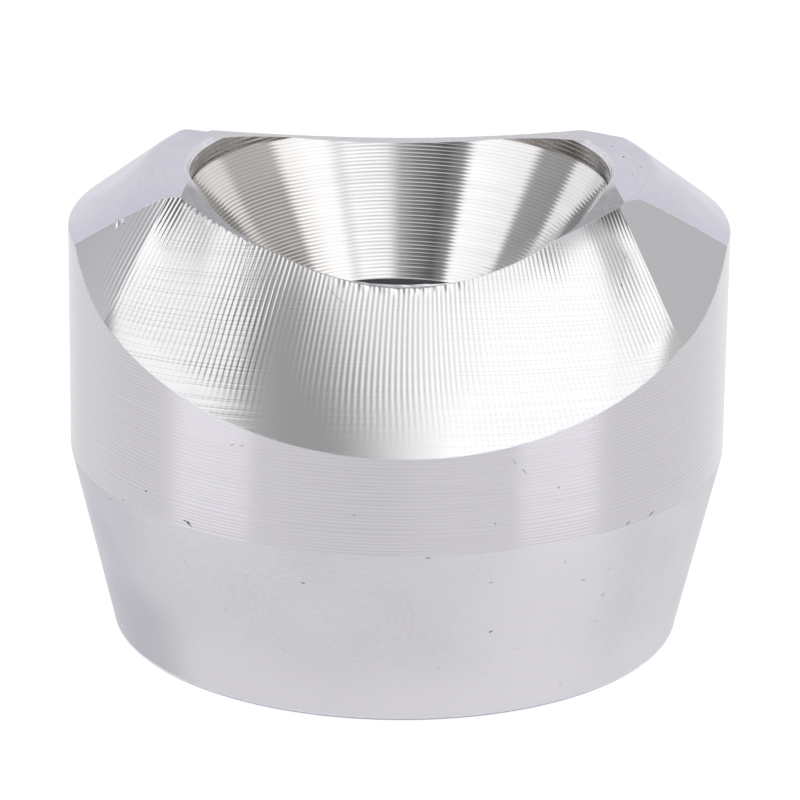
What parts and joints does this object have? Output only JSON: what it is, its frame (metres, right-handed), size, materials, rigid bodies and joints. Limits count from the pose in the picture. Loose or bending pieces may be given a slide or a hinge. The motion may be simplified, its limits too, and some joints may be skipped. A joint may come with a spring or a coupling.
{
  "type": "branch outlet fitting",
  "caption": "Turned stainless branch outlet with a curved saddle and weld bevels for a run pipe, a flared inlet and a pipe socket in its branch end.",
  "frame": {"origin": "centre of the branch-end face, on the bore axis", "axes": "+Z along the bore axis towards the run pipe; the run pipe lies along Y; the deeper weld bevel, the one the picture shows, faces -Y"},
  "size_m": [0.054, 0.054, 0.039],
  "materials": {
    "steel": "bright turned and milled stainless steel, with visible cutter marks"
  },
  "bodies": {
    "root": {"outlet_body": "steel"}
  },
  "joints": []
}
